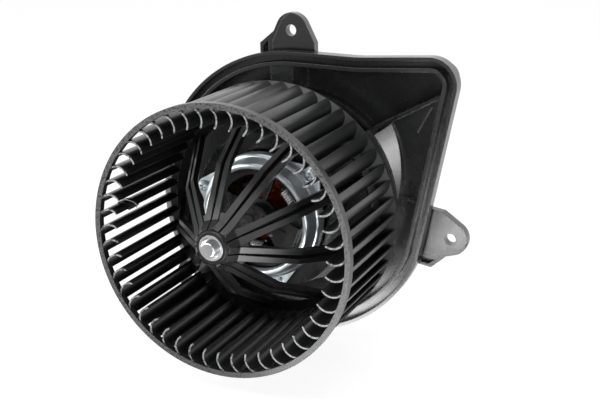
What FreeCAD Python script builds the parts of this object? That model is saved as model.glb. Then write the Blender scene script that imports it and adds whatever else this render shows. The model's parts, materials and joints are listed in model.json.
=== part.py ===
import FreeCAD, Part
import os
from math import acos, atan2, cos, degrees, hypot, pi, radians, sin, sqrt

# Heater blower unit, in millimetres. Everything round is centred on the motor shaft, which is the
# Y axis. The air inlet and the free end of the shaft face -Y, the back of the motor faces +Y.
# y = 0 is the front plane of the housing rim. Angles run from +X towards +Z.

# ---- Driving dimensions -------------------------------------------------------------------------

# Wheel
WHEEL_R = 75.0
WHEEL_FRONT = -90.0
WHEEL_BACK = -17.0
RING_INNER_R = 72.0
RING_DEPTH = 4.0
REAR_RING_R = 73.5
REAR_RING_INNER_R = 58.0
REAR_RING_THICK = 1.6
REAR_CONE_R = 66.5
REAR_CONE_FRONT = -24.4
BLADES = 48
BLADE_FIRST_ANGLE = -0.3
BLADE_INNER_R = 62.0
BLADE_ARC_R = 7.06
BLADE_ARC_START = -123.1
BLADE_ARC_SWEEP = 126.3
BLADE_THICK = 1.0
BLADE_SETBACK = 0.7
BALANCE_BLADE = 23
BALANCE_SETBACK = 13.0
BALANCE_CLIP_WIDTH = 8.0

# Spokes and hub of the wheel
SPOKES = 9
SPOKE_FIRST_ANGLE = 24.0
SPOKE_PATH = [(8.5, -94.0), (12.0, -88.0), (36.5, -62.5), (61.2, -16.0)]
SPOKE_HALF_WIDTH = 4.2
SPOKE_DEEP = 2.6
SPOKE_PROUD = 1.6
GROOVE_HALF_WIDTH = 2.9
GROOVE_FLOOR = -1.2
GROOVE_SHARES = (0.22, 0.22, 0.6, 0.68)
WEB_THICK = 2.2
WEB_R = 16.4
GATE_PAD_R = 3.9
GATE_PAD_AT_R = 17.2
GATE_PAD_ANGLE = 41.4
HUB_BOSS_R = 10.5
HUB_BOSS_BACK = -76.0

# Shaft and hub insert
SHAFT_R = 4.0
SHAFT_FRONT = -100.0
SHAFT_BACK = 29.0
SHAFT_CHAMFER = 0.5
COLLAR_R = 6.9
COLLAR_FRONT = -96.0
COLLAR_BACK = -78.0
COLLAR_MOUTH_R = 5.7
COLLAR_MOUTH_DEPTH = 3.0

# Motor case
CAN_R = 33.5
CAN_WALL = 1.6
CAN_FRONT = -36.0
CAN_BACK = 22.0
BEARING_R = 7.0
BEARING_HALF_LENGTH = 4.0
BEARING_CLEARANCE = 0.03
REAR_BEARING_Y = 25.0
FRONT_BEARING_Y = -41.5
SEAT_WALL = 1.9
MAGNET_THICK = 6.0
MAGNET_FRONT = -19.0
MAGNET_BACK = 14.0
MAGNET_SWEEP = 120.0
VENT_ANGLES = (30.0, 90.0, 150.0)
VENT_SWEEP = 32.0
VENT_RADII = (15.0, 27.5)
LEAD_SLOT_ANGLES = (244.0, 288.0)
LEAD_SLOT_RADII = (21.5, 29.9)

# Rotor inside the motor
CORE_R = 24.8
CORE_FRONT = -16.0
CORE_BACK = 12.0
SLOTS = 12
SLOT_WIDTH = 5.4
SLOT_MOUTH = 2.0
SLOT_BOTTOM_R = 12.5
SLOT_TOP_R = 22.8
WINDING_OVERHANG = 6.6
WINDING_INNER_R = 7.5
COMMUTATOR_R = 11.0
COMMUTATOR_FRONT = -35.2
COMMUTATOR_BACK = -24.0
COMMUTATOR_HUB_R = 7.2
SEGMENT_GAP = 0.7

# Zinc plated mounting ring and its three tabs
MOUNT_RING_R = 36.2
MOUNT_RING_SHEET = 1.2
MOUNT_RING_LIP_R = 29.2
MOUNT_RING_LIP_Y = -46.4
MOUNT_RING_BASE_Y = -32.0
MOUNT_RING_ROLL = 1.6
MOUNT_RING_CURL = 4.2
MOUNT_RING_KNEE_R = 34.5
MOUNT_RING_KNEE_Y = -38.4
TAB_ANGLES = (42.0, 162.0, 282.0)
TAB_SCREW_R = 39.8
TAB_TIP_R = 4.4
TAB_HALF_SPREAD = 24.0

# Brush plate
PLATE_R = 32.6
PLATE_FRONT = -39.0
PLATE_THICK = 3.0
WINDOW_INNER_R = 10.6
WINDOW_OUTER_R = 24.8
WINDOWS = ((22.0, 68.0), (80.0, 146.0), (178.0, 222.0), (238.0, 300.0))
BRUSH_ANGLES = {"right": -20.0, "left": 160.0}
BRUSH_Y = -29.6
BRUSH_ACROSS = 7.0
BRUSH_AXIAL = 6.0
BRUSH_LENGTH = 9.0
BRUSH_CLEARANCE = 0.05
GUIDE_WALL = 0.9
GUIDE_INNER_R = 13.0
GUIDE_OUTER_R = 28.6
SPRING_R = 2.2
SPRING_WIRE_R = 0.35
SPRING_TURNS = 5
CHOKES = ((20.5, 38.5, -35.4), (17.0, 262.0, -38.6))
CHOKE_LENGTH = 11.0
CHOKE_CORE_R = 1.5
CHOKE_WIRE_R = 0.55
CHOKE_PITCH = 1.3

# Housing rim: a round side, a flat right side, and a top that runs level and then rises to the
# rounded corner. A side's angle is that of its outward normal; its reach is from the rim's centre.
RIM_R = 85.2
RIM_CENTRE_X = 0.6
RIM_CENTRE_Z = 2.0
RIM_RIGHT_ANGLE = -10.7
RIM_RIGHT_REACH = 84.0
RIM_RISING_ANGLE = 94.1
RIM_RISING_REACH = 81.6
RIM_LEVEL_ANGLE = 89.3
RIM_CORNER_R = 15.5
RIM_BEND_R = 120.0
RIM_WIDTH = 8.1
RIM_WALL = 2.0
RIM_RIDGE = 2.2
RIM_DEPTH = 8.0
SEAL_GROOVE_DEPTH = 5.8
PAN_WALL_INSET = 5.6

# Housing floor, tower and outlet
WALL = 2.5
FLOOR_Y = 14.0
SHOULDER_Y = 4.0
SHOULDER_R = 66.0
TOWER_FRONT = -27.0
TOWER_FRONT_R = 46.0
TOWER_BASE_R = 52.0
TOWER_HOLE_R = 36.2
OUTLET_FLOOR_Y = 23.0
OUTLET_LINE_POINT = (68.5, 56.9)
OUTLET_LINE_ANGLE = 29.7
OUTLET_INNER_R = 63.0
OUTLET_LIP = 2.0
OUTLET_LIP_PROUD = 1.2
SPIRAL = ((5.0, 66.4), (22.0, 71.4), (39.5, 76.3))
SPIRAL_SLOPE = 8.8
FLOOR_RIDGE = ((62.0, 6.2), (75.5, 3.2))
FLOOR_RIDGE_WIDTH = 1.2
FLOOR_RIDGE_PROUD = 2.0
FLOOR_RIB = ((73.4, 44.5), (81.4, 60.0))
FLOOR_RIB_WIDTH = 1.4
FLOOR_RIB_PROUD = 1.0
TONGUE = (-12.0, 2.0)
TONGUE_Y = 1.5

# Mounting ears
EARS = ((91.5, 1), (-8.7, -1), (221.0, 1))
EAR_HOLE_PITCH_R = 98.0
EAR_HOLE_R = 3.3
EAR_TIP_R = 10.0
EAR_HALF_WIDTH = 14.5
EAR_SHOULDER_R = 91.0
EAR_ROOT_R = 77.0
EAR_FRONT = 9.0
EAR_DEPTH = 5.5
EAR_PLATE = 3.0
EAR_STEP = 1.0
EAR_BORDER = 2.4
EAR_RIM_GAP = 0.4

# Rear cover and plug
COVER_R = 63.0
COVER_DOME_R = 42.0
COVER_FRONT = 16.5
COVER_FLANGE = 2.0
COVER_BACK = 35.0
COVER_SCREW_R = 57.0
COVER_SCREW_ANGLES = (15.0, 135.0, 270.0)
COVER_RIB_ANGLES = (45.0, 90.0, 180.0, 315.0)
COVER_WALL = 2.2
GLAND_FRONT = 22.0
GLAND_BACK = 29.5
GLAND_HALF_ANGLE = 6.0
PLUG_ANGLE = 225.0
PLUG_R = 52.5
PLUG_BACK = 36.0
LEAD_R = 1.2
LEAD_ANGLES = {"positive": 262.0, "negative": 278.0}
LEAD_HEIGHTS = {"positive": 24.4, "negative": 27.2}

# Fasteners
SCREW_SHANK_R = 1.5
SCREW_HEAD_R = 3.4
SCREW_HEAD_HEIGHT = 2.6
GROMMET_R = 4.2
FIT = 0.02

FRONTWARD = FreeCAD.Vector(0, -1, 0)
BACKWARD = FreeCAD.Vector(0, 1, 0)
ORIGIN = FreeCAD.Vector(0, 0, 0)


# ---- Helpers ------------------------------------------------------------------------------------

def at(radius, angle, y=0.0):
    """The point at this radius and angle about the shaft."""
    return FreeCAD.Vector(radius * cos(radians(angle)), y, radius * sin(radians(angle)))


def spun(shape, angle):
    """A copy turned about the shaft, from +X towards +Z."""
    turned = shape.copy()
    turned.rotate(ORIGIN, FRONTWARD, angle)
    return turned


def moved_point(point, x):
    return FreeCAD.Vector(point.x + x, point.y, point.z)


def moved(shape, x, y, z):
    shifted = shape.copy()
    shifted.translate(FreeCAD.Vector(x, y, z))
    return shifted


def rod(radius, y_from, y_to):
    return Part.makeCylinder(radius, y_to - y_from, FreeCAD.Vector(0, y_from, 0), BACKWARD)


def tube(inner, outer, y_from, y_to):
    return rod(outer, y_from, y_to).cut(rod(inner, y_from - 1, y_to + 1))


def box(x, y, z):
    """A box from three (low, high) pairs."""
    corner = FreeCAD.Vector(x[0], y[0], z[0])
    return Part.makeBox(x[1] - x[0], y[1] - y[0], z[1] - z[0], corner)


def lathe(profile):
    """A solid of revolution from (radius, y) points."""
    points = [FreeCAD.Vector(r, y, 0) for r, y in profile]
    face = Part.Face(Part.makePolygon(points + points[:1]))
    return face.revolve(ORIGIN, BACKWARD, 360)


def prism(edges, depth):
    """Pushes a closed outline backward by depth."""
    return Part.Face(Part.Wire(edges)).extrude(BACKWARD * depth)


def plate(points, y_from, y_to):
    """A flat plate from (x, z) points."""
    corners = [FreeCAD.Vector(x, y_from, z) for x, z in points]
    face = Part.Face(Part.makePolygon(corners + corners[:1]))
    return face.extrude(BACKWARD * (y_to - y_from))


def line(a, b):
    return Part.LineSegment(a, b).toShape()


def arc(a, middle, b):
    return Part.Arc(a, middle, b).toShape()


def sector(inner, outer, angle_from, angle_to, y_from, y_to):
    """A block between two radii and two angles."""
    middle = (angle_from + angle_to) / 2
    edges = [
        line(at(inner, angle_from, y_from), at(outer, angle_from, y_from)),
        arc(at(outer, angle_from, y_from), at(outer, middle, y_from), at(outer, angle_to, y_from)),
        line(at(outer, angle_to, y_from), at(inner, angle_to, y_from)),
        arc(at(inner, angle_to, y_from), at(inner, middle, y_from), at(inner, angle_from, y_from)),
    ]
    return prism(edges, y_to - y_from)


def union(shapes):
    first, rest = shapes[0], shapes[1:]
    joined = first.multiFuse(rest) if rest else first
    return joined.removeSplitter()


def swept_wire(points, radius):
    """A round wire along a smooth curve through the points."""
    curve = Part.BSplineCurve()
    curve.interpolate(points)
    spine = Part.Wire(curve.toShape())
    start = points[0]
    direction = curve.tangent(curve.FirstParameter)[0]
    profile = Part.Wire(Part.Circle(start, direction, radius).toShape())
    return spine.makePipeShell([profile], True, True)


def coil(radius, wire_radius, pitch, height):
    """A helical spring standing on the origin along +Z."""
    spine = Part.Wire(Part.makeHelix(pitch, height, radius))
    start = FreeCAD.Vector(radius, 0, 0)
    direction = FreeCAD.Vector(0, 2 * pi * radius, pitch)
    profile = Part.Wire(Part.Circle(start, direction, wire_radius).toShape())
    return spine.makePipeShell([profile], True, True)


def export(name, *solids):
    shape = solids[0] if len(solids) == 1 else Part.makeCompound(list(solids))
    shape.exportStep(os.path.join("parts", name + ".step"))


# ---- Wheel --------------------------------------------------------------------------------------

def blade_arc_centre():
    start = radians(BLADE_ARC_START)
    return BLADE_INNER_R - BLADE_ARC_R * cos(start), -BLADE_ARC_R * sin(start)


def blade_sector(inset, outset, sweep_from, sweep_to, y_from, y_to):
    """A curved strip along a blade at angle 0, between two offsets from its middle line."""
    x, z = blade_arc_centre()
    inner, outer = BLADE_ARC_R + inset, BLADE_ARC_R + outset
    start = BLADE_ARC_START + sweep_from
    end = BLADE_ARC_START + sweep_to
    return moved(sector(inner, outer, start, end, y_from, y_to), x, 0, z)


def blade():
    half = BLADE_THICK / 2
    front = WHEEL_FRONT + BLADE_SETBACK
    strip = blade_sector(-half, half, 0, BLADE_ARC_SWEEP, front, WHEEL_BACK)
    tip = moved(rod(half, front, WHEEL_BACK), BLADE_INNER_R, 0, 0)
    return strip.fuse(tip)


def spoke_bar(section, shares=(1, 1, 1, 1)):
    """A bar along the bent spoke path at angle 0, from a section of (across, proud) points.

    shares narrows the section at each point of the path.
    """
    path = SPOKE_PATH
    normals = []
    for (r0, y0), (r1, y1) in zip(path, path[1:]):
        length = hypot(r1 - r0, y1 - y0)
        normals.append(((y1 - y0) / length, -(r1 - r0) / length))
    rings = []
    for i, (r, y) in enumerate(path):
        before = normals[max(i - 1, 0)]
        after = normals[min(i, len(normals) - 1)]
        mid = (before[0] + after[0], before[1] + after[1])
        size = hypot(*mid)
        stretch = 2 / size ** 2
        points = []
        for across, proud in section:
            step = proud * stretch
            points.append(FreeCAD.Vector(r + mid[0] * step, y + mid[1] * step, across * shares[i]))
        rings.append(Part.makePolygon(points + points[:1]))
    return Part.makeLoft(rings, True, True)


def hub_cone(radius):
    """The cone between the spokes, flush with their fronts, out to this radius."""
    (hub_r, hub_y), (bend_r, bend_y), (kink_r, kink_y) = SPOKE_PATH[:3]
    slope = (kink_y - bend_y) / (kink_r - bend_r)
    edge_y = bend_y + (radius - bend_r) * slope
    return lathe([
        (COLLAR_R, hub_y - SPOKE_PROUD),
        (hub_r, hub_y - SPOKE_PROUD),
        (bend_r, bend_y - SPOKE_PROUD),
        (radius, edge_y - SPOKE_PROUD),
        (radius, edge_y - SPOKE_PROUD + WEB_THICK),
        (bend_r, bend_y - SPOKE_PROUD + 2 * WEB_THICK),
        (COLLAR_R, bend_y + WEB_THICK),
    ])


def blower_wheel():
    front_ring = tube(RING_INNER_R, WHEEL_R, WHEEL_FRONT, WHEEL_FRONT + RING_DEPTH)
    rear_ring = lathe([
        (REAR_RING_INNER_R, WHEEL_BACK),
        (REAR_RING_R, WHEEL_BACK),
        (REAR_RING_R, WHEEL_BACK - REAR_RING_THICK),
        (REAR_CONE_R, REAR_CONE_FRONT),
        (BLADE_INNER_R, REAR_CONE_FRONT),
        (REAR_RING_INNER_R, WHEEL_BACK - REAR_RING_THICK),
    ])
    one_blade = blade()
    blades = [spun(one_blade, BLADE_FIRST_ANGLE + i * 360 / BLADES) for i in range(BLADES)]

    web = hub_cone(WEB_R)
    bend_y = SPOKE_PATH[1][1]
    gate_pad = spun(moved(rod(GATE_PAD_R, WHEEL_FRONT, WHEEL_BACK), GATE_PAD_AT_R, 0, 0),
                    GATE_PAD_ANGLE)
    gate_pad = gate_pad.common(hub_cone(GATE_PAD_AT_R + 2 * GATE_PAD_R))
    boss = tube(COLLAR_R, HUB_BOSS_R, bend_y, HUB_BOSS_BACK)
    bar = spoke_bar([
        (-SPOKE_HALF_WIDTH, SPOKE_PROUD),
        (SPOKE_HALF_WIDTH, SPOKE_PROUD),
        (SPOKE_HALF_WIDTH, -SPOKE_DEEP / 2),
        (SPOKE_HALF_WIDTH / 3, -SPOKE_DEEP),
        (-SPOKE_HALF_WIDTH / 3, -SPOKE_DEEP),
        (-SPOKE_HALF_WIDTH, -SPOKE_DEEP / 2),
    ])
    groove = spoke_bar([
        (-GROOVE_HALF_WIDTH, SPOKE_PROUD + 1),
        (GROOVE_HALF_WIDTH, SPOKE_PROUD + 1),
        (0.3, GROOVE_FLOOR),
        (-0.3, GROOVE_FLOOR),
    ], GROOVE_SHARES)
    angles = [SPOKE_FIRST_ANGLE + i * 360 / SPOKES for i in range(SPOKES)]
    spider = union([web, gate_pad, boss] + [spun(bar, a) for a in angles])
    collar_space = rod(COLLAR_R, WHEEL_FRONT - 10, HUB_BOSS_BACK + 1)
    spider = spider.cut(Part.makeCompound([spun(groove, a) for a in angles] + [collar_space]))
    spider = spider.cut(tube(REAR_RING_INNER_R - 5, WHEEL_R, WHEEL_BACK, WHEEL_BACK + 10))
    return union([front_ring, rear_ring, spider] + blades)


def hub_collar():
    body = tube(SHAFT_R, COLLAR_R, COLLAR_FRONT, COLLAR_BACK)
    mouth = rod(COLLAR_MOUTH_R, COLLAR_FRONT - 1, COLLAR_FRONT + COLLAR_MOUTH_DEPTH)
    return body.cut(mouth)


def balance_clip():
    """A folded spring clip that grips the inner edge of one blade."""
    half = BLADE_THICK / 2
    sheet = 0.6
    y_from = WHEEL_FRONT + BALANCE_SETBACK
    y_to = y_from + BALANCE_CLIP_WIDTH
    inner_leg = blade_sector(-half - sheet, -half, -6, 52, y_from, y_to)
    outer_leg = blade_sector(half, half + sheet, -6, 60, y_from, y_to)
    nose = blade_sector(-half - sheet, half + sheet, -9.5, -4.3, y_from, y_to)
    clip = union([inner_leg, outer_leg, nose])
    return spun(clip, BLADE_FIRST_ANGLE + BALANCE_BLADE * 360 / BLADES)


# ---- Shaft and armature -------------------------------------------------------------------------

def motor_shaft():
    return lathe([
        (0, SHAFT_FRONT),
        (SHAFT_R - SHAFT_CHAMFER, SHAFT_FRONT),
        (SHAFT_R, SHAFT_FRONT + SHAFT_CHAMFER),
        (SHAFT_R, SHAFT_BACK - SHAFT_CHAMFER),
        (SHAFT_R - SHAFT_CHAMFER, SHAFT_BACK),
        (0, SHAFT_BACK),
    ])


def slot_space(clearance, y_from, y_to):
    """One winding slot of the core at angle 0."""
    half = SLOT_WIDTH / 2 - clearance
    return box((SLOT_BOTTOM_R + clearance, SLOT_TOP_R - clearance), (y_from, y_to), (-half, half))


def armature_core():
    core = tube(SHAFT_R, CORE_R, CORE_FRONT, CORE_BACK)
    space = slot_space(0, CORE_FRONT - 1, CORE_BACK + 1)
    half = SLOT_MOUTH / 2
    mouth = box((SLOT_TOP_R - 1, CORE_R + 1), (CORE_FRONT - 1, CORE_BACK + 1), (-half, half))
    slot = space.fuse(mouth)
    return core.cut(Part.makeCompound([spun(slot, i * 360 / SLOTS) for i in range(SLOTS)]))


def armature_windings():
    """Copper in the slots, with a rounded bundle of end turns at each end of the core."""
    gap = 0.1
    outer = SLOT_TOP_R - gap
    corner = 2.0
    bundles = []
    for face_y, side in ((CORE_FRONT, -1), (CORE_BACK, 1)):
        near = face_y + side * gap
        far = face_y + side * WINDING_OVERHANG
        bundles.append(lathe([
            (WINDING_INNER_R, near),
            (outer, near),
            (outer, far - side * corner),
            (outer - corner, far),
            (WINDING_INNER_R + corner, far),
            (WINDING_INNER_R, far - side * corner),
        ]))
    bars = slot_space(gap, CORE_FRONT - gap, CORE_BACK + gap)
    return union(bundles + [spun(bars, i * 360 / SLOTS) for i in range(SLOTS)])


def commutator_hub():
    return tube(SHAFT_R, COMMUTATOR_HUB_R, COMMUTATOR_FRONT, COMMUTATOR_BACK)


def commutator_segments():
    """Copper bars, each with a raised tang at the winding end."""
    bar = tube(COMMUTATOR_HUB_R, COMMUTATOR_R, COMMUTATOR_FRONT + 0.6, COMMUTATOR_BACK)
    tangs = tube(COMMUTATOR_HUB_R, COMMUTATOR_R + 1.6, COMMUTATOR_BACK - 1.4, COMMUTATOR_BACK)
    drum = bar.fuse(tangs)
    half = SEGMENT_GAP / 2
    length = (COMMUTATOR_FRONT - 1, COMMUTATOR_BACK + 1)
    slit = box((COMMUTATOR_HUB_R - 1, COMMUTATOR_R + 3), length, (-half, half))
    slits = [spun(slit, (i + 0.5) * 360 / SLOTS) for i in range(SLOTS)]
    return drum.cut(Part.makeCompound(slits)).Solids


def thrust_washers():
    front = tube(SHAFT_R + FIT, 7.0, PLATE_FRONT + PLATE_THICK + 0.05, COMMUTATOR_FRONT - 0.05)
    rear = tube(SHAFT_R + FIT, 7.0, CORE_BACK + WINDING_OVERHANG + 0.1, CAN_BACK - CAN_WALL - 0.4)
    return front, rear


# ---- Motor case ---------------------------------------------------------------------------------

def bearing(y):
    """A self-aligning bush, round on the outside like a slice of a ball."""
    end_r = sqrt(BEARING_R ** 2 - BEARING_HALF_LENGTH ** 2)
    bore_r = SHAFT_R + BEARING_CLEARANCE
    low, high = y - BEARING_HALF_LENGTH, y + BEARING_HALF_LENGTH
    edges = [
        line(FreeCAD.Vector(bore_r, low, 0), FreeCAD.Vector(end_r, low, 0)),
        arc(FreeCAD.Vector(end_r, low, 0), FreeCAD.Vector(BEARING_R, y, 0),
            FreeCAD.Vector(end_r, high, 0)),
        line(FreeCAD.Vector(end_r, high, 0), FreeCAD.Vector(bore_r, high, 0)),
        line(FreeCAD.Vector(bore_r, high, 0), FreeCAD.Vector(bore_r, low, 0)),
    ]
    return Part.Face(Part.Wire(edges)).revolve(ORIGIN, BACKWARD, 360)


def bearing_retainer(y, side):
    """A slotted spring washer that presses the bush into its seat."""
    sheet = 0.5
    seat_r = BEARING_R + 0.1
    touch_r = 5.9
    offset = side * (BEARING_HALF_LENGTH + 0.05)
    washer = lathe([
        (touch_r - 0.9, y + offset),
        (seat_r, y + offset),
        (seat_r, y + offset + side * sheet),
        (touch_r - 0.9, y + offset + side * sheet),
    ])
    tooth = box((touch_r, seat_r + 1), (y - 8, y + 8), (-0.6, 0.6))
    return washer.cut(Part.makeCompound([spun(tooth, 30 + i * 60) for i in range(6)]))


def motor_can():
    inner = CAN_R - CAN_WALL
    seat_r = BEARING_R + 0.1
    seat_out = seat_r + SEAT_WALL
    seat_back = REAR_BEARING_Y + BEARING_HALF_LENGTH + 0.6
    hole_r = SHAFT_R + 1.5
    bend = 3.0
    can = lathe([
        (inner, CAN_FRONT),
        (CAN_R, CAN_FRONT),
        (CAN_R, CAN_BACK - bend),
        (CAN_R - bend, CAN_BACK),
        (seat_out, CAN_BACK),
        (seat_out, seat_back + CAN_WALL),
        (hole_r, seat_back + CAN_WALL),
        (hole_r, seat_back),
        (seat_r, seat_back),
        (seat_r, CAN_BACK - CAN_WALL),
        (inner - bend, CAN_BACK - CAN_WALL),
        (inner, CAN_BACK - CAN_WALL - bend),
    ])
    through = (CAN_BACK - 5, CAN_BACK + 1)
    half = VENT_SWEEP / 2
    vents = [sector(*VENT_RADII, a - half, a + half, *through) for a in VENT_ANGLES]
    vents.append(sector(*LEAD_SLOT_RADII, *LEAD_SLOT_ANGLES, *through))
    return can.cut(Part.makeCompound(vents))


def field_magnet(angle):
    outer = CAN_R - CAN_WALL
    half = MAGNET_SWEEP / 2
    return sector(outer - MAGNET_THICK, outer, angle - half, angle + half, MAGNET_FRONT, MAGNET_BACK)


def magnet_clip(angle):
    """A sprung strip between the magnets' edges, with a lip folded over each."""
    outer = CAN_R - CAN_WALL - 0.1
    half = (180 - MAGNET_SWEEP) / 2 - 0.4
    front, back = MAGNET_FRONT + 2, MAGNET_BACK - 2
    strip = sector(outer - 0.7, outer, angle - half, angle + half, front, back)
    lips = [
        sector(outer - 3.5, outer, angle + side * half - 0.7, angle + side * half + 0.7, front, back)
        for side in (-0.965, 0.965)
    ]
    return union([strip] + lips)


def motor_mounting_ring():
    """A rolled ring with a curled lip, a sloping shoulder and three screw tabs."""
    sheet, base = MOUNT_RING_SHEET, MOUNT_RING_BASE_Y
    out, lip, lip_y = MOUNT_RING_R, MOUNT_RING_LIP_R, MOUNT_RING_LIP_Y
    knee_r, knee_y = MOUNT_RING_KNEE_R, MOUNT_RING_KNEE_Y
    roll, curl_y = MOUNT_RING_ROLL, lip_y + MOUNT_RING_CURL

    def section(*points):
        return [FreeCAD.Vector(r, y, 0) for r, y in points]

    bend = section((out, knee_y + 2.0), (out - 0.5, knee_y + 0.6), (knee_r, knee_y))
    curl = section((lip + 2 * roll + 0.4, lip_y + roll), (lip + roll, lip_y), (lip, lip_y + roll))
    inside = section(
        (lip, curl_y),
        (lip + sheet, curl_y),
        (lip + sheet, lip_y + roll + 0.9),
        (lip + 2.9, lip_y + roll + sheet),
        (knee_r - sheet, knee_y + sheet),
        (out - sheet, knee_y + 2 * sheet),
        (out - sheet, base - sheet),
        (CAN_R, base - sheet),
        (CAN_R, base),
        (out, base),
    )
    corners = [curl[2]] + inside + [bend[0]]
    edges = [line(a, b) for a, b in zip(corners, corners[1:])]
    edges += [arc(*bend), line(bend[2], curl[0]), arc(*curl)]
    ring = Part.Face(Part.Wire(edges)).revolve(ORIGIN, BACKWARD, 360)
    tab = screw_tab(base - sheet, base)
    return union([ring] + [spun(tab, a) for a in TAB_ANGLES])


def screw_tab(y_from, y_to):
    """A three-cornered tab at angle 0 with a round tip about the screw hole."""
    root_r = MOUNT_RING_R - 0.6
    root = at(root_r, TAB_HALF_SPREAD)
    reach = TAB_SCREW_R - root.x
    touch = 180 - degrees(atan2(root.z, reach)) - degrees(acos(TAB_TIP_R / hypot(reach, root.z)))
    upper = moved_point(at(TAB_TIP_R, touch, y_from), TAB_SCREW_R)
    lower = moved_point(at(TAB_TIP_R, -touch, y_from), TAB_SCREW_R)
    end = moved_point(at(TAB_TIP_R, 0, y_from), TAB_SCREW_R)
    root_up = at(root_r, TAB_HALF_SPREAD, y_from)
    root_down = at(root_r, -TAB_HALF_SPREAD, y_from)
    edges = [
        arc(root_down, at(root_r, 0, y_from), root_up),
        line(root_up, upper),
        arc(upper, end, lower),
        line(lower, root_down),
    ]
    hole = moved(rod(SCREW_SHANK_R + 0.2, y_from - 1, y_to + 1), TAB_SCREW_R, 0, 0)
    return prism(edges, y_to - y_from).cut(hole)


def screw(head_y, length):
    """A pan-head cross-recess screw, its head's underside at head_y, on the shaft line."""
    shoulder = 0.9
    body = lathe([
        (0, head_y - SCREW_HEAD_HEIGHT),
        (SCREW_HEAD_R * 0.62, head_y - SCREW_HEAD_HEIGHT),
        (SCREW_HEAD_R * 0.9, head_y - SCREW_HEAD_HEIGHT * 0.72),
        (SCREW_HEAD_R, head_y - shoulder),
        (SCREW_HEAD_R, head_y),
        (SCREW_SHANK_R, head_y),
        (SCREW_SHANK_R, head_y + length - SCREW_SHANK_R),
        (0.4, head_y + length),
        (0, head_y + length),
    ])
    top = head_y - SCREW_HEAD_HEIGHT
    long_half, short_half = 1.9, 0.42
    recess = box((-long_half, long_half), (top - 1, top + 1.5), (-short_half, short_half))
    cross = recess.fuse(spun(recess, 90))
    return body.cut(cross)


def mounting_screws():
    one = moved(screw(MOUNT_RING_BASE_Y - MOUNT_RING_SHEET, 16), TAB_SCREW_R, 0, 0)
    return [spun(one, a) for a in TAB_ANGLES]


def vibration_grommets():
    one = tube(SCREW_SHANK_R + 0.1, GROMMET_R, MOUNT_RING_BASE_Y, TOWER_FRONT)
    groove_y = (MOUNT_RING_BASE_Y + TOWER_FRONT) / 2
    waist = tube(GROMMET_R - 0.7, GROMMET_R + 1, groove_y - 0.8, groove_y + 0.8)
    one = moved(one.cut(waist), TAB_SCREW_R, 0, 0)
    return [spun(one, a) for a in TAB_ANGLES]


# ---- Brush gear ---------------------------------------------------------------------------------

def brush_plate():
    """The moulded end plate: bearing seat, air windows and a cover over each brush."""
    back = PLATE_FRONT + PLATE_THICK
    disc = rod(PLATE_R, PLATE_FRONT, back)
    seat_front = FRONT_BEARING_Y - BEARING_HALF_LENGTH - 0.9
    seat = rod(BEARING_R + SEAT_WALL + 0.1, seat_front, back)
    covers = []
    for angle in BRUSH_ANGLES.values():
        low = box((BEARING_R, 25.5), (PLATE_FRONT - 1.4, PLATE_FRONT + 1), (-5.6, 5.6))
        groove = box((12, 18), (PLATE_FRONT - 2, PLATE_FRONT - 0.7), (-0.7, 0.7))
        cap = box((19.5, 25.5), (PLATE_FRONT - 3.4, PLATE_FRONT + 1), (-6.2, 6.2))
        covers.append(spun(low.cut(groove).fuse(cap), angle))
    rim = tube(27.6, 28.8, PLATE_FRONT - 1.2, PLATE_FRONT + 1)
    body = union([disc, seat, rim] + covers)
    windows = [
        sector(WINDOW_INNER_R, WINDOW_OUTER_R, low, high, PLATE_FRONT - 1, back + 1)
        for low, high in WINDOWS
    ]
    body = body.cut(Part.makeCompound(windows))
    seat_space = rod(BEARING_R + 0.1, seat_front - 1, FRONT_BEARING_Y + BEARING_HALF_LENGTH + 0.1)
    shaft_hole = rod(SHAFT_R + 1.2, seat_front - 1, back + 1)
    return body.cut(seat_space.fuse(shaft_hole))


def brush_tunnel(inner_r, outer_r, margin):
    """A square block along the brush axis at angle 0."""
    across = BRUSH_ACROSS / 2 + margin
    axial = BRUSH_AXIAL / 2 + margin
    return box((inner_r, outer_r), (BRUSH_Y - axial, BRUSH_Y + axial), (-across, across))


def brush_guide():
    shell = brush_tunnel(GUIDE_INNER_R, GUIDE_OUTER_R, GUIDE_WALL + BRUSH_CLEARANCE)
    hollow = brush_tunnel(GUIDE_INNER_R - 1, GUIDE_OUTER_R - GUIDE_WALL, BRUSH_CLEARANCE)
    return shell.cut(hollow)


def carbon_brush():
    inner_r = COMMUTATOR_R + BRUSH_CLEARANCE
    block = brush_tunnel(inner_r - 2, inner_r + BRUSH_LENGTH, 0)
    return block.cut(rod(inner_r, BRUSH_Y - 10, BRUSH_Y + 10))


def brush_spring():
    margin = SPRING_WIRE_R + 0.05
    low = COMMUTATOR_R + BRUSH_CLEARANCE + BRUSH_LENGTH + margin
    high = GUIDE_OUTER_R - GUIDE_WALL - margin
    spring = coil(SPRING_R, SPRING_WIRE_R, (high - low) / SPRING_TURNS, high - low)
    spring.rotate(ORIGIN, FreeCAD.Vector(0, 1, 0), 90)
    return moved(spring, low, BRUSH_Y, 0)


def placed_choke(shape, choke):
    """Moves a part made along +Z about the origin to a choke's radius, angle and depth."""
    radius, angle, y = choke
    return spun(moved(shape, radius, y, 0), angle)


def choke_cores():
    base = FreeCAD.Vector(0, 0, -CHOKE_LENGTH / 2)
    core = Part.makeCylinder(CHOKE_CORE_R, CHOKE_LENGTH, base, FreeCAD.Vector(0, 0, 1))
    return [placed_choke(core, choke) for choke in CHOKES]


def choke_coils():
    height = CHOKE_LENGTH - 3
    radius = CHOKE_CORE_R + CHOKE_WIRE_R + 0.05
    winding = coil(radius, CHOKE_WIRE_R, CHOKE_PITCH, height)
    winding = moved(winding, 0, 0, -height / 2)
    return [placed_choke(winding, choke) for choke in CHOKES]


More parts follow.
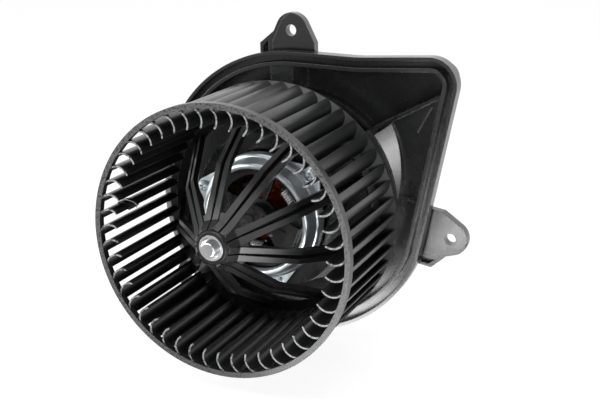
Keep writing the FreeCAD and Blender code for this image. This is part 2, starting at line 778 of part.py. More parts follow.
def suppression_capacitor():
    body = box((16, 23), (-35.6, -31.6), (-5, 5))
    edges = [e for e in body.Edges if abs(e.Vertexes[0].Y - e.Vertexes[1].Y) > 1]
    return spun(body.makeFillet(1.2, edges), 205)


# ---- Housing ------------------------------------------------------------------------------------

def crossing(first, first_reach, second, second_reach):
    """Where two lines cross, each given by its unit normal and its distance from the origin."""
    shared = first.dot(second)
    spread = 1 - shared ** 2
    along_first = (first_reach - second_reach * shared) / spread
    along_second = (second_reach - first_reach * shared) / spread
    return first * along_first + second * along_second


def outline(inset, y_from, y_to):
    """A prism of the rim's outline, moved inward by inset."""
    centre = FreeCAD.Vector(RIM_CENTRE_X, y_from, RIM_CENTRE_Z)
    right, rising, level = at(1, RIM_RIGHT_ANGLE), at(1, RIM_RISING_ANGLE), at(1, RIM_LEVEL_ANGLE)
    big, small, bend_r = RIM_R - inset, RIM_CORNER_R - inset, RIM_BEND_R + inset
    corner = centre + crossing(
        right, RIM_RIGHT_REACH - RIM_CORNER_R, rising, RIM_RISING_REACH - RIM_CORNER_R)
    bend = centre + crossing(rising, RIM_RISING_REACH + RIM_BEND_R, level, RIM_R + RIM_BEND_R)
    right_end = RIM_RIGHT_ANGLE - degrees(acos((RIM_RIGHT_REACH - inset) / big))
    low = centre + at(big, right_end)
    high = centre + level * big
    far_side = centre - at(big, (right_end + RIM_LEVEL_ANGLE) / 2)
    corner_middle = corner + (right + rising).normalize() * small
    bend_middle = bend - (rising + level).normalize() * bend_r
    edges = [
        line(low, corner + right * small),
        arc(corner + right * small, corner_middle, corner + rising * small),
        line(corner + rising * small, bend - rising * bend_r),
        arc(bend - rising * bend_r, bend_middle, bend - level * bend_r),
        line(bend - level * bend_r, high),
        arc(high, far_side, low),
    ]
    return prism(edges, y_to - y_from)


def above_outlet_line(shift):
    """Everything on the upper side of the outlet's straight edge, moved down by shift."""
    x, z = OUTLET_LINE_POINT
    size = 200
    half_space = box((-size, size), (-size, size), (-shift, size))
    half_space.rotate(ORIGIN, FRONTWARD, OUTLET_LINE_ANGLE)
    return moved(half_space, x, 0, z)


def outlet_space(grow, y_from, y_to):
    """The outlet duct's plan, between the tongue, the straight edge and the wall."""
    plan = outline(RIM_WIDTH - grow, y_from, y_to)
    plan = plan.common(above_outlet_line(grow))
    plan = plan.common(box((TONGUE[1] - grow, 200), (y_from, y_to), (0, 200)))
    return plan.cut(rod(OUTLET_INNER_R - grow, y_from - 1, y_to + 1))


def outlet_lip():
    """A narrow raised lip on the floor, just below the outlet's straight edge."""
    front = FLOOR_Y - OUTLET_LIP_PROUD
    strip = outline(RIM_WIDTH - 1, front, FLOOR_Y + 1)
    strip = strip.common(above_outlet_line(OUTLET_LIP)).cut(above_outlet_line(0))
    strip = strip.common(box((SHOULDER_R / 2, 200), (front, FLOOR_Y + 1), (0, 200)))
    return strip.cut(rod(SHOULDER_R, front - 1, FLOOR_Y + 2))


def floor_bar(ends, width, proud):
    """A low straight rib standing on the scroll floor between two (x, z) points."""
    (x0, z0), (x1, z1) = ends
    length = hypot(x1 - x0, z1 - z0)
    bar = box((0, length), (FLOOR_Y - proud, FLOOR_Y + 1), (-width / 2, width / 2))
    bar.rotate(ORIGIN, FRONTWARD, degrees(atan2(z1 - z0, x1 - x0)))
    return moved(bar, x0, 0, z0)


def spiral_shoulder(margin, y_from, y_to):
    """The widened shoulder between the outlet and the right-hand side."""
    inner = SHOULDER_R - 3
    points = [at(r - margin, a, y_from) for a, r in SPIRAL]
    angles = [a for a, _ in SPIRAL]
    edges = [
        line(at(inner, angles[0], y_from), points[0]),
        arc(points[0], points[1], points[2]),
        line(points[2], at(inner, angles[2], y_from)),
        arc(*[at(inner, a, y_from) for a in reversed(angles)]),
    ]
    cone = lathe([
        (0, y_from),
        (SHOULDER_R - 2, y_from),
        (SPIRAL[2][1] + 1, y_from + SPIRAL_SLOPE),
        (SPIRAL[2][1] + 1, y_to),
        (0, y_to),
    ])
    return prism(edges, y_to - y_from).common(cone)


def ear(angle, wing_side):
    """A mounting ear: a round-ended plate with a border behind it, and a set-back wing."""
    hole_r = EAR_HOLE_PITCH_R

    def pad(margin, y_from, y_to):
        tip = EAR_TIP_R - margin
        half = EAR_HALF_WIDTH - margin
        drop = hole_r - EAR_SHOULDER_R
        distance = hypot(drop, half)
        touch = degrees(atan2(half, -drop)) - degrees(acos(tip / distance))
        up = FreeCAD.Vector(hole_r + tip * cos(radians(touch)), y_from, tip * sin(radians(touch)))
        down = FreeCAD.Vector(up.x, y_from, -up.z)
        corners = [(EAR_ROOT_R, -half), (EAR_SHOULDER_R, -half)]
        low = [FreeCAD.Vector(x, y_from, z) for x, z in corners]
        high = [FreeCAD.Vector(x, y_from, -z) for x, z in reversed(corners)]
        edges = [
            line(low[0], low[1]),
            line(low[1], down),
            arc(down, FreeCAD.Vector(hole_r + tip, y_from, 0), up),
            line(up, high[0]),
            line(high[0], high[1]),
            line(high[1], low[0]),
        ]
        return prism(edges, y_to - y_from)

    front, back = EAR_FRONT, EAR_FRONT + EAR_DEPTH
    step = front + EAR_STEP
    raised = pad(0, front, step + EAR_STEP)
    raised = raised.common(moved(raised, 0, 0, -wing_side * EAR_BORDER))
    raised = raised.cut(spun(outline(-EAR_RIM_GAP, 0, back), -angle))
    body = pad(0, step, back)
    body = body.cut(pad(EAR_BORDER, front + EAR_PLATE, back + 1))
    boss = moved(rod(EAR_HOLE_R + 2.8, step, back), hole_r, 0, 0)
    inside = wing_side * (EAR_HALF_WIDTH - 4)
    outside = wing_side * (EAR_HALF_WIDTH + 6)
    wing = plate(
        [(EAR_ROOT_R, inside), (EAR_ROOT_R, outside), (EAR_SHOULDER_R - 1, outside),
         (EAR_SHOULDER_R + 7, inside)],
        step, back)
    slot_inside = wing_side * (EAR_HALF_WIDTH + 0.6)
    slot_outside = outside - wing_side * 1.8
    slot = plate(
        [(RIM_R - 2, slot_inside), (RIM_R - 2, slot_outside), (EAR_SHOULDER_R - 3, slot_outside),
         (EAR_SHOULDER_R + 0.5, slot_inside)],
        front, back - EAR_STEP)
    hole = moved(rod(EAR_HOLE_R, front - 1, back + 1), hole_r, 0, 0)
    web_half = EAR_BORDER / 2
    web = box((EAR_ROOT_R, hole_r - EAR_HOLE_R - 1), (step, back), (-web_half, web_half))
    foot = box((EAR_ROOT_R, RIM_R - RIM_WALL), (RIM_DEPTH - 1, step + 1),
               (1 - EAR_HALF_WIDTH, EAR_HALF_WIDTH - 1))
    foot = foot.common(spun(outline(RIM_WALL, 0, back), -angle))
    body = union([body, raised, boss, wing, web, foot]).cut(hole.fuse(slot))
    return spun(body, angle)


def housing_rim():
    """The pan wall with its hollow rim: outer wall, seal groove and inner ridge."""
    band = outline(0, 0, RIM_DEPTH)
    groove = outline(RIM_WALL, -1, SEAL_GROOVE_DEPTH)
    groove = groove.cut(outline(RIM_WIDTH - RIM_RIDGE, -2, SEAL_GROOVE_DEPTH + 1))
    wall = outline(PAN_WALL_INSET, 0, FLOOR_Y + WALL)
    rim = band.fuse(wall).cut(outline(RIM_WIDTH, -1, FLOOR_Y + WALL + 1))
    return rim.cut(groove)


def tower_and_floor():
    """The cone round the motor, the shoulder it stands on and the scroll floor."""
    inner_step = WALL + 0.2
    core = lathe([
        (TOWER_HOLE_R, TOWER_FRONT),
        (TOWER_FRONT_R, TOWER_FRONT),
        (TOWER_BASE_R, SHOULDER_Y),
        (SHOULDER_R, SHOULDER_Y),
        (SHOULDER_R, FLOOR_Y),
        (SHOULDER_R + 2, FLOOR_Y),
        (SHOULDER_R + 2, FLOOR_Y + WALL),
        (SHOULDER_R - WALL, FLOOR_Y + WALL),
        (SHOULDER_R - WALL, SHOULDER_Y + WALL),
        (TOWER_BASE_R - inner_step, SHOULDER_Y + WALL),
        (TOWER_FRONT_R - inner_step, TOWER_FRONT + WALL),
        (TOWER_HOLE_R, TOWER_FRONT + WALL),
    ])
    floor = outline(PAN_WALL_INSET, FLOOR_Y, FLOOR_Y + WALL)
    floor = floor.cut(rod(SHOULDER_R + 1, FLOOR_Y - 1, FLOOR_Y + WALL + 1))
    return core, floor


def scroll_housing():
    core, floor = tower_and_floor()
    block = spiral_shoulder(0, SHOULDER_Y, FLOOR_Y + WALL)
    tongue_top = RIM_CENTRE_Z + RIM_R - RIM_WIDTH + RIM_RIDGE / 2
    tongue = box(TONGUE, (TONGUE_Y, FLOOR_Y + WALL), (SHOULDER_R - 2, tongue_top))
    long_edges = [e for e in tongue.Edges if e.Length > 10 and abs(
        e.Vertexes[0].Y - e.Vertexes[1].Y) > 1 and e.Vertexes[0].Z < SHOULDER_R]
    tongue = tongue.makeFillet(5.0, long_edges)
    ridge = floor_bar(FLOOR_RIDGE, FLOOR_RIDGE_WIDTH, FLOOR_RIDGE_PROUD)
    floor_rib = floor_bar(FLOOR_RIB, FLOOR_RIB_WIDTH, FLOOR_RIB_PROUD)
    duct = outlet_space(WALL, FLOOR_Y, OUTLET_FLOOR_Y + WALL)
    bosses = [
        spun(moved(rod(4.2, TOWER_FRONT, TOWER_FRONT + 14), TAB_SCREW_R, 0, 0), a)
        for a in TAB_ANGLES
    ]
    cover_bosses = [
        spun(moved(rod(4.0, SHOULDER_Y + 1, COVER_FRONT), COVER_SCREW_R, 0, 0), a)
        for a in COVER_SCREW_ANGLES
    ]
    rib_span = (SHOULDER_R + 1, RIM_R - RIM_WIDTH)
    rib = box(rib_span, (FLOOR_Y + WALL - 1, FLOOR_Y + WALL + 5), (-1, 1))
    ribs = [spun(rib, a) for a in range(105, 345, 30)]
    inside_rim = outline(PAN_WALL_INSET + 1, 0, EAR_FRONT + 20)
    ears = [ear(angle, side).cut(inside_rim) for angle, side in EARS]
    body = union([housing_rim(), core, floor, block, tongue, ridge, floor_rib, outlet_lip(), duct]
                 + bosses + cover_bosses + ribs + ears)
    screw_holes = [
        spun(moved(rod(SCREW_SHANK_R + FIT, TOWER_FRONT - 1, TOWER_FRONT + 12.5),
                   TAB_SCREW_R, 0, 0), a)
        for a in TAB_ANGLES
    ]
    cover_holes = [
        spun(moved(rod(SCREW_SHANK_R + FIT, SHOULDER_Y + WALL + 1, COVER_FRONT + 1),
                   COVER_SCREW_R, 0, 0), a)
        for a in COVER_SCREW_ANGLES
    ]
    hollow = [
        outlet_space(0, SHOULDER_Y, OUTLET_FLOOR_Y),
        spiral_shoulder(WALL, SHOULDER_Y + WALL, FLOOR_Y + WALL + 1),
    ]
    return body.cut(Part.makeCompound(screw_holes + cover_holes)).cut(hollow[0]).cut(hollow[1])


# ---- Rear cover, plug and leads -----------------------------------------------------------------

def motor_rear_cover():
    wall = COVER_WALL
    bend = 5.0
    front, back = COVER_FRONT, COVER_BACK
    flange = front + COVER_FLANGE
    dome = COVER_DOME_R
    cover = lathe([
        (dome - wall, front),
        (COVER_R, front),
        (COVER_R, flange),
        (dome, flange),
        (dome, back - bend),
        (dome - bend, back),
        (0, back),
        (0, back - wall),
        (dome - wall - bend, back - wall),
        (dome - wall, back - wall - bend),
    ])
    holes = [
        spun(moved(rod(SCREW_SHANK_R + 0.2, front - 1, flange + 1), COVER_SCREW_R, 0, 0), a)
        for a in COVER_SCREW_ANGLES
    ]
    rib = box((dome - 1, COVER_R - 4), (flange - 1, flange + 5), (-1, 1))
    ribs = [spun(rib, a) for a in COVER_RIB_ANGLES]
    gland_from, gland_to = PLUG_ANGLE - GLAND_HALF_ANGLE, PLUG_ANGLE + GLAND_HALF_ANGLE
    gland = sector(dome - wall - 1, dome + 1, gland_from, gland_to, GLAND_FRONT, GLAND_BACK)
    outlet_side = outlet_space(WALL + 0.3, front - 1, back)
    return union([cover] + ribs).cut(Part.makeCompound(holes + [gland])).cut(outlet_side)


def cover_screws():
    flange = COVER_FRONT + COVER_FLANGE
    one = screw(-flange, 10)
    one.rotate(ORIGIN, FreeCAD.Vector(0, 0, 1), 180)
    one = moved(one, COVER_SCREW_R, 0, 0)
    return [spun(one, a) for a in COVER_SCREW_ANGLES]


def lead_grommet():
    """A rubber block in the cover's wall with a hole for each lead."""
    dome = COVER_DOME_R
    gap = 0.1

    def block(inner, outer, spread, proud):
        low, high = PLUG_ANGLE - GLAND_HALF_ANGLE, PLUG_ANGLE + GLAND_HALF_ANGLE
        depth = (GLAND_FRONT - proud, GLAND_BACK + proud)
        return sector(inner, outer, low - spread, high + spread, *depth)

    plug = block(dome - COVER_WALL, dome + 2 * gap, -gap, -gap)
    flange = block(dome + gap, dome + 1.6, 1.0, 0.8)
    body = union([plug, flange])
    for y in LEAD_HEIGHTS.values():
        start = FreeCAD.Vector(dome - 6, y, 0)
        bore = Part.makeCylinder(LEAD_R + 0.15, 12, start, FreeCAD.Vector(1, 0, 0))
        body = body.cut(spun(bore, PLUG_ANGLE))
    return body


def lead(name):
    """An insulated wire from the brush plate, between the magnets, out to the plug."""
    angle, y = LEAD_ANGLES[name], LEAD_HEIGHTS[name]
    points = [
        at(28.3, angle, -33),
        at(28.3, angle, -15),
        at(28.3, angle, 8),
        at(27.0, angle, 18),
        at(28.0, angle - 4, y - 1),
        at(32.0, (angle + PLUG_ANGLE) / 2, y),
        at(COVER_DOME_R - 2, PLUG_ANGLE, y),
        at(COVER_DOME_R + 2, PLUG_ANGLE, y),
        at(PLUG_R - 5.6, PLUG_ANGLE, y),
    ]
    return swept_wire(points, LEAD_R)


def connector_body():
    """A socket for a two-blade plug, open to the back."""
    base = COVER_FRONT + COVER_FLANGE
    outer = box((PLUG_R - 5.5, PLUG_R + 5.5), (base, PLUG_BACK), (-10, 10))
    long_edges = [e for e in outer.Edges if e.Length > 12 and abs(
        e.Vertexes[0].Y - e.Vertexes[1].Y) > 1]
    outer = outer.makeFillet(1.5, long_edges)
    cavity = box((PLUG_R - 3.7, PLUG_R + 3.7), (PLUG_BACK - 11, PLUG_BACK + 1), (-8.2, 8.2))
    key = box((PLUG_R + 5, PLUG_R + 6.6), (base + 6, PLUG_BACK - 3), (-2.5, 2.5))
    body = outer.cut(cavity).fuse(key)
    for side in (-1, 1):
        slot = box((PLUG_R - 0.42, PLUG_R + 0.42), (base + 1, PLUG_BACK), (side * 5 - 2, side * 5 + 2))
        body = body.cut(slot)
    return spun(body, PLUG_ANGLE)


def connector_terminals():
    base = COVER_FRONT + COVER_FLANGE
    blades = []
    for side in (-1, 1):
        blade_box = box((PLUG_R - 0.4, PLUG_R + 0.4), (base + 1, PLUG_BACK - 3),
                        (side * 5 - 1.95, side * 5 + 1.95))
        blades.append(spun(blade_box, PLUG_ANGLE))
    return blades


# ---- Build --------------------------------------------------------------------------------------

def main():
    os.makedirs("parts", exist_ok=True)
    export("scroll_housing", scroll_housing())
    export("blower_wheel", blower_wheel())
    export("hub_collar", hub_collar())
    export("balance_clip", balance_clip())
    export("motor_shaft", motor_shaft())
    export("armature_core", armature_core())
    export("armature_windings", armature_windings())
    export("commutator_hub", commutator_hub())
    export("commutator_segments", *commutator_segments())
    export("thrust_washers", *thrust_washers())
    export("motor_can", motor_can())
    export("front_bearing", bearing(FRONT_BEARING_Y))
    export("rear_bearing", bearing(REAR_BEARING_Y))
    export("front_bearing_retainer", bearing_retainer(FRONT_BEARING_Y, -1))
    export("rear_bearing_retainer", bearing_retainer(REAR_BEARING_Y, -1))
    export("field_magnet_right", field_magnet(0))
    export("field_magnet_left", field_magnet(180))
    export("magnet_clips", magnet_clip(90), magnet_clip(270))
    export("motor_mounting_ring", motor_mounting_ring())
    export("mounting_screws", *mounting_screws())
    export("vibration_grommets", *vibration_grommets())
    export("brush_plate", brush_plate())
    for side, angle in BRUSH_ANGLES.items():
        export("brush_guide_" + side, spun(brush_guide(), angle))
        export("carbon_brush_" + side, spun(carbon_brush(), angle))
        export("brush_spring_" + side, spun(brush_spring(), angle))
    export("choke_cores", *choke_cores())
    export("choke_coils", *choke_coils())
    export("suppression_capacitor", suppression_capacitor())
    export("motor_rear_cover", motor_rear_cover())
    export("cover_screws", *cover_screws())
    export("lead_grommet", lead_grommet())
    export("positive_lead", lead("positive"))
    export("negative_lead", lead("negative"))
    export("connector_body", connector_body())
    export("connector_terminals", *connector_terminals())


main()
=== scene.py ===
import json
import math
import random
import bpy
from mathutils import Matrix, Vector


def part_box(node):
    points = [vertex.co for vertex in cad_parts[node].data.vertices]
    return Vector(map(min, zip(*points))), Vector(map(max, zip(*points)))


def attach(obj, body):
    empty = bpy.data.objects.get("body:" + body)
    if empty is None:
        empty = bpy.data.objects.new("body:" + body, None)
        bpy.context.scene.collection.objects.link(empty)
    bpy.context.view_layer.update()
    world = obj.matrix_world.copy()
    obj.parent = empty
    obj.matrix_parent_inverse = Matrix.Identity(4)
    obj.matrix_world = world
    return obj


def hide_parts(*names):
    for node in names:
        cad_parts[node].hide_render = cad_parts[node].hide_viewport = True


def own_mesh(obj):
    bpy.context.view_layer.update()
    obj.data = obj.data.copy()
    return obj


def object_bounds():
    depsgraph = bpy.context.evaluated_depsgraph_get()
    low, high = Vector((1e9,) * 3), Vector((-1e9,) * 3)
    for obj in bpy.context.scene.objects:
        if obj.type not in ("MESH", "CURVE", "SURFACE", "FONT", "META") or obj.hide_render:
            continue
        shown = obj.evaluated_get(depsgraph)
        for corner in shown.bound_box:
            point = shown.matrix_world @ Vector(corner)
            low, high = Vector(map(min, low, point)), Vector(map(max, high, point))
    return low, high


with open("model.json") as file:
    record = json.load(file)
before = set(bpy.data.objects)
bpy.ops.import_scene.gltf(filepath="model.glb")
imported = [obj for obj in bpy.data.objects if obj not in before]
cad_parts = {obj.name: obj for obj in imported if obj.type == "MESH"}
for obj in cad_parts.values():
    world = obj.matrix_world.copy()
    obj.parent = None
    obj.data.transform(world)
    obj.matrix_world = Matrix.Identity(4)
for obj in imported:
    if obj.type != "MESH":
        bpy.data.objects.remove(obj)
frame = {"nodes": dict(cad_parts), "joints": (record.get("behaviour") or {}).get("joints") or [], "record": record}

CAD_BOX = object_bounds()
NODES = frame["nodes"]
MM = 0.001
SHAFT = Vector((0, 1, 0))
WHEEL_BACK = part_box("blower_wheel")[1].y
WHEEL_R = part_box("blower_wheel")[1].x

# ---- Camera -------------------------------------------------------------------------------------

CAMERA_AZIMUTH = 24.25
CAMERA_ELEVATION = 17.36
CAMERA_DISTANCE = 0.600
CAMERA_TARGET = (CAD_BOX[0] + CAD_BOX[1]) / 2 + Vector((10.16, 0.8, -1.98)) * MM
CAMERA_LENS = 64.65
SENSOR_WIDTH = 36.0


def link(obj):
    bpy.context.scene.collection.objects.link(obj)
    return obj


def direction(azimuth, elevation):
    """The unit vector from the object towards a viewer at this azimuth and elevation, in degrees."""
    a, e = math.radians(azimuth), math.radians(elevation)
    return Vector((math.sin(a) * math.cos(e), -math.cos(a) * math.cos(e), math.sin(e)))


def look_back(obj, back):
    obj.rotation_mode = "QUATERNION"
    obj.rotation_quaternion = (-back).to_track_quat("-Z", "Y")


def add_camera():
    data = bpy.data.cameras.new("camera")
    data.lens = CAMERA_LENS
    data.sensor_width = SENSOR_WIDTH
    data.clip_start = 0.01
    data.clip_end = 50
    camera = link(bpy.data.objects.new("camera", data))
    back = direction(CAMERA_AZIMUTH, CAMERA_ELEVATION)
    camera.location = CAMERA_TARGET + back * CAMERA_DISTANCE
    look_back(camera, back)
    bpy.context.scene.camera = camera


# ---- Light and floor ----------------------------------------------------------------------------

LIGHT_AIM = Vector((0, -30, 0)) * MM
LIGHT_DISTANCE = 0.9
FLOOR_LEVEL = CAD_BOX[0].z - 0.5 * MM
FLOOR_SIZE = 6.0
FLOOR_BRIGHTNESS = 1.06
FLOOR_EVENNESS = 0.86
GLOW_LIFT = 1.5 * MM

# (place, brightness) of the surroundings, from the viewer's side at 0 to behind the object at 1.
WORLD_STRENGTH = 1.6
WORLD_SHADES = [(0.2, 0.04), (0.48, 0.12), (0.8, 0.9)]

# The same for the floor as glossy faces see it, between these two distances along Y.
FLOOR_NEAR, FLOOR_FAR = -1.5, 0.5
FLOOR_MIRROR_STRENGTH = 1.5
FLOOR_SHADES = [(0.25, 0.7), (0.42, 0.12), (0.52, 0.12), (0.6, 0.3), (0.68, 0.5), (0.85, 0.9)]


def area_lamp(name, size, radiance):
    """A rectangular area light of a given brightness that the camera doesn't see."""
    data = bpy.data.lights.new(name, "AREA")
    data.shape = "RECTANGLE"
    data.size, data.size_y = size
    data.energy = radiance * math.pi * size[0] * size[1]
    lamp = link(bpy.data.objects.new(name, data))
    lamp.visible_camera = False
    return lamp


def add_softbox(name, azimuth, elevation, size, radiance):
    """An area light that faces the wheel's middle from this azimuth and elevation."""
    lamp = area_lamp(name, size, radiance)
    back = direction(azimuth, elevation)
    lamp.location = LIGHT_AIM + back * LIGHT_DISTANCE
    look_back(lamp, back)
    return lamp


def light_only(lamp, *objects):
    """Keeps a lamp's light for these objects."""
    group = bpy.data.collections.new(lamp.name + "_lights")
    for obj in objects:
        group.objects.link(obj)
    lamp.light_linking.receiver_collection = group


def add_table_glow(name, low, high, radiance):
    """A bright patch of table from one (x, y) corner to another, seen only in reflections."""
    lamp = area_lamp(name, (high[0] - low[0], high[1] - low[1]), radiance)
    middle = ((low[0] + high[0]) / 2, (low[1] + high[1]) / 2)
    lamp.location = (*middle, FLOOR_LEVEL + GLOW_LIFT)
    lamp.rotation_euler = (math.pi, 0, 0)
    lamp.visible_diffuse = False
    return lamp


def add_lights():
    """Boxes above and beside the object, cards for the recesses, and reflections off the table."""
    housing = NODES["scroll_housing"]
    the_rest = [obj for node, obj in NODES.items() if node != "scroll_housing"]
    add_softbox("overhead", 10, 80, (1.0, 0.8), 4.0)
    floor_card = add_softbox("floor_card", 42, 15, (0.3, 0.3), 16.0)
    light_only(floor_card, housing)
    motor_card = add_softbox("motor_card", -45, 12, (0.5, 0.4), 8.0)
    light_only(motor_card, NODES["motor_mounting_ring"], NODES["brush_plate"],
               NODES["hub_collar"], NODES["mounting_screws"])
    motor_card.light_linking.blocker_collection = motor_card.light_linking.receiver_collection
    add_softbox("right_box", 56, 10, (0.4, 0.5), 2.5)
    add_softbox("left_box", -70, 20, (0.6, 0.8), 7.5)
    light_only(add_table_glow("ear_glow", (0.012, -0.31), (0.14, -0.15), 19.0), housing)
    light_only(add_table_glow("floor_glow", (0.0, -0.07), (0.10, 0.0), 16.0), housing)
    light_only(add_table_glow("wheel_glow", (0.012, -0.31), (0.14, -0.11), 12.0), *the_rest)


def value_ramp(nodes, links, source, stops):
    """A grey ramp through (position, brightness) stops; returns its colour output."""
    ramp = nodes.new("ShaderNodeValToRGB")
    elements = ramp.color_ramp.elements
    while len(elements) < len(stops):
        elements.new(0.5)
    for element, (position, value) in zip(elements, stops):
        element.position = position
        element.color = (value, value, value, 1)
    links.new(source, ramp.inputs[0])
    return ramp.outputs[0]


def add_world():
    """White behind the object, and dark on the viewer's side, as in a tent with a camera hole."""
    world = bpy.data.worlds.new("studio")
    bpy.context.scene.world = world
    world.use_nodes = True
    nodes, links = world.node_tree.nodes, world.node_tree.links
    nodes.clear()
    out = nodes.new("ShaderNodeOutputWorld")
    seen = nodes.new("ShaderNodeBackground")
    seen.inputs["Color"].default_value = (1, 1, 1, 1)
    lit = nodes.new("ShaderNodeBackground")
    lit.inputs["Strength"].default_value = WORLD_STRENGTH
    path = nodes.new("ShaderNodeLightPath")
    mix = nodes.new("ShaderNodeMixShader")
    place = nodes.new("ShaderNodeTexCoord")
    split = nodes.new("ShaderNodeSeparateXYZ")
    half = nodes.new("ShaderNodeMapRange")
    half.inputs["From Min"].default_value = -1
    half.inputs["From Max"].default_value = 1
    links.new(place.outputs["Generated"], split.inputs[0])
    links.new(split.outputs["Y"], half.inputs["Value"])
    links.new(value_ramp(nodes, links, half.outputs[0], WORLD_SHADES), lit.inputs["Color"])
    links.new(path.outputs["Is Camera Ray"], mix.inputs[0])
    links.new(lit.outputs[0], mix.inputs[1])
    links.new(seen.outputs[0], mix.inputs[2])
    links.new(mix.outputs[0], out.inputs[0])


def floor_material():
    """Near white to the eye with a faint shadow; its reflection fades towards the viewer's side."""
    material = bpy.data.materials.new("pale_floor")
    material.use_nodes = True
    nodes, links = material.node_tree.nodes, material.node_tree.links
    nodes.clear()
    out = nodes.new("ShaderNodeOutputMaterial")
    path = nodes.new("ShaderNodeLightPath")
    place = nodes.new("ShaderNodeNewGeometry")
    cloud = nodes.new("ShaderNodeTexNoise")
    cloud.inputs["Scale"].default_value = 3.0
    links.new(place.outputs["Position"], cloud.inputs["Vector"])
    paper = nodes.new("ShaderNodeBsdfDiffuse")
    links.new(value_ramp(nodes, links, cloud.outputs["Fac"], [(0.3, 0.86), (0.7, 0.9)]),
              paper.inputs["Color"])
    white = nodes.new("ShaderNodeEmission")
    white.inputs["Strength"].default_value = FLOOR_BRIGHTNESS
    eye = nodes.new("ShaderNodeMixShader")
    eye.inputs[0].default_value = FLOOR_EVENNESS
    links.new(paper.outputs[0], eye.inputs[1])
    links.new(white.outputs[0], eye.inputs[2])

    split = nodes.new("ShaderNodeSeparateXYZ")
    links.new(place.outputs["Position"], split.inputs[0])
    depth = nodes.new("ShaderNodeMapRange")
    depth.inputs["From Min"].default_value = FLOOR_NEAR
    depth.inputs["From Max"].default_value = FLOOR_FAR
    links.new(split.outputs["Y"], depth.inputs["Value"])
    mirror = nodes.new("ShaderNodeEmission")
    mirror.inputs["Strength"].default_value = FLOOR_MIRROR_STRENGTH
    links.new(value_ramp(nodes, links, depth.outputs[0], FLOOR_SHADES), mirror.inputs["Color"])

    bounce = nodes.new("ShaderNodeMixShader")
    links.new(path.outputs["Is Glossy Ray"], bounce.inputs[0])
    links.new(paper.outputs[0], bounce.inputs[1])
    links.new(mirror.outputs[0], bounce.inputs[2])
    both = nodes.new("ShaderNodeMixShader")
    links.new(path.outputs["Is Camera Ray"], both.inputs[0])
    links.new(bounce.outputs[0], both.inputs[1])
    links.new(eye.outputs[0], both.inputs[2])
    links.new(both.outputs[0], out.inputs[0])
    return material


def add_floor():
    """A wide pale floor just under the lowest point of the object."""
    mesh = bpy.data.meshes.new("floor")
    signs = [(-1, -1), (1, -1), (1, 1), (-1, 1)]
    corners = [(x * FLOOR_SIZE, y * FLOOR_SIZE, FLOOR_LEVEL) for x, y in signs]
    mesh.from_pydata(corners, [], [(0, 1, 2, 3)])
    mesh.materials.append(floor_material())
    link(bpy.data.objects.new("floor", mesh))


# ---- Materials ----------------------------------------------------------------------------------

# Scuffs go on front faces within this depth of the blade front and beyond this radius; on the blade tips they also
# carry a painted highlight.
BLADE_FRONT = WHEEL_BACK - 73 * MM
BLADE_SCUFF_AND_HIGHLIGHT_DEPTH = 5 * MM
BLADE_SCUFF_AND_HIGHLIGHT_R = 55 * MM
RING_INNER_R = WHEEL_R - 3 * MM
RING_COLOUR = (0.10, 0.10, 0.10)
# Blade tip scuffs are painted much paler than the ring's, as a painted highlight of the rounded tips.
TIP_SCUFF_AND_HIGHLIGHT_COLOUR = (0.30, 0.30, 0.31)


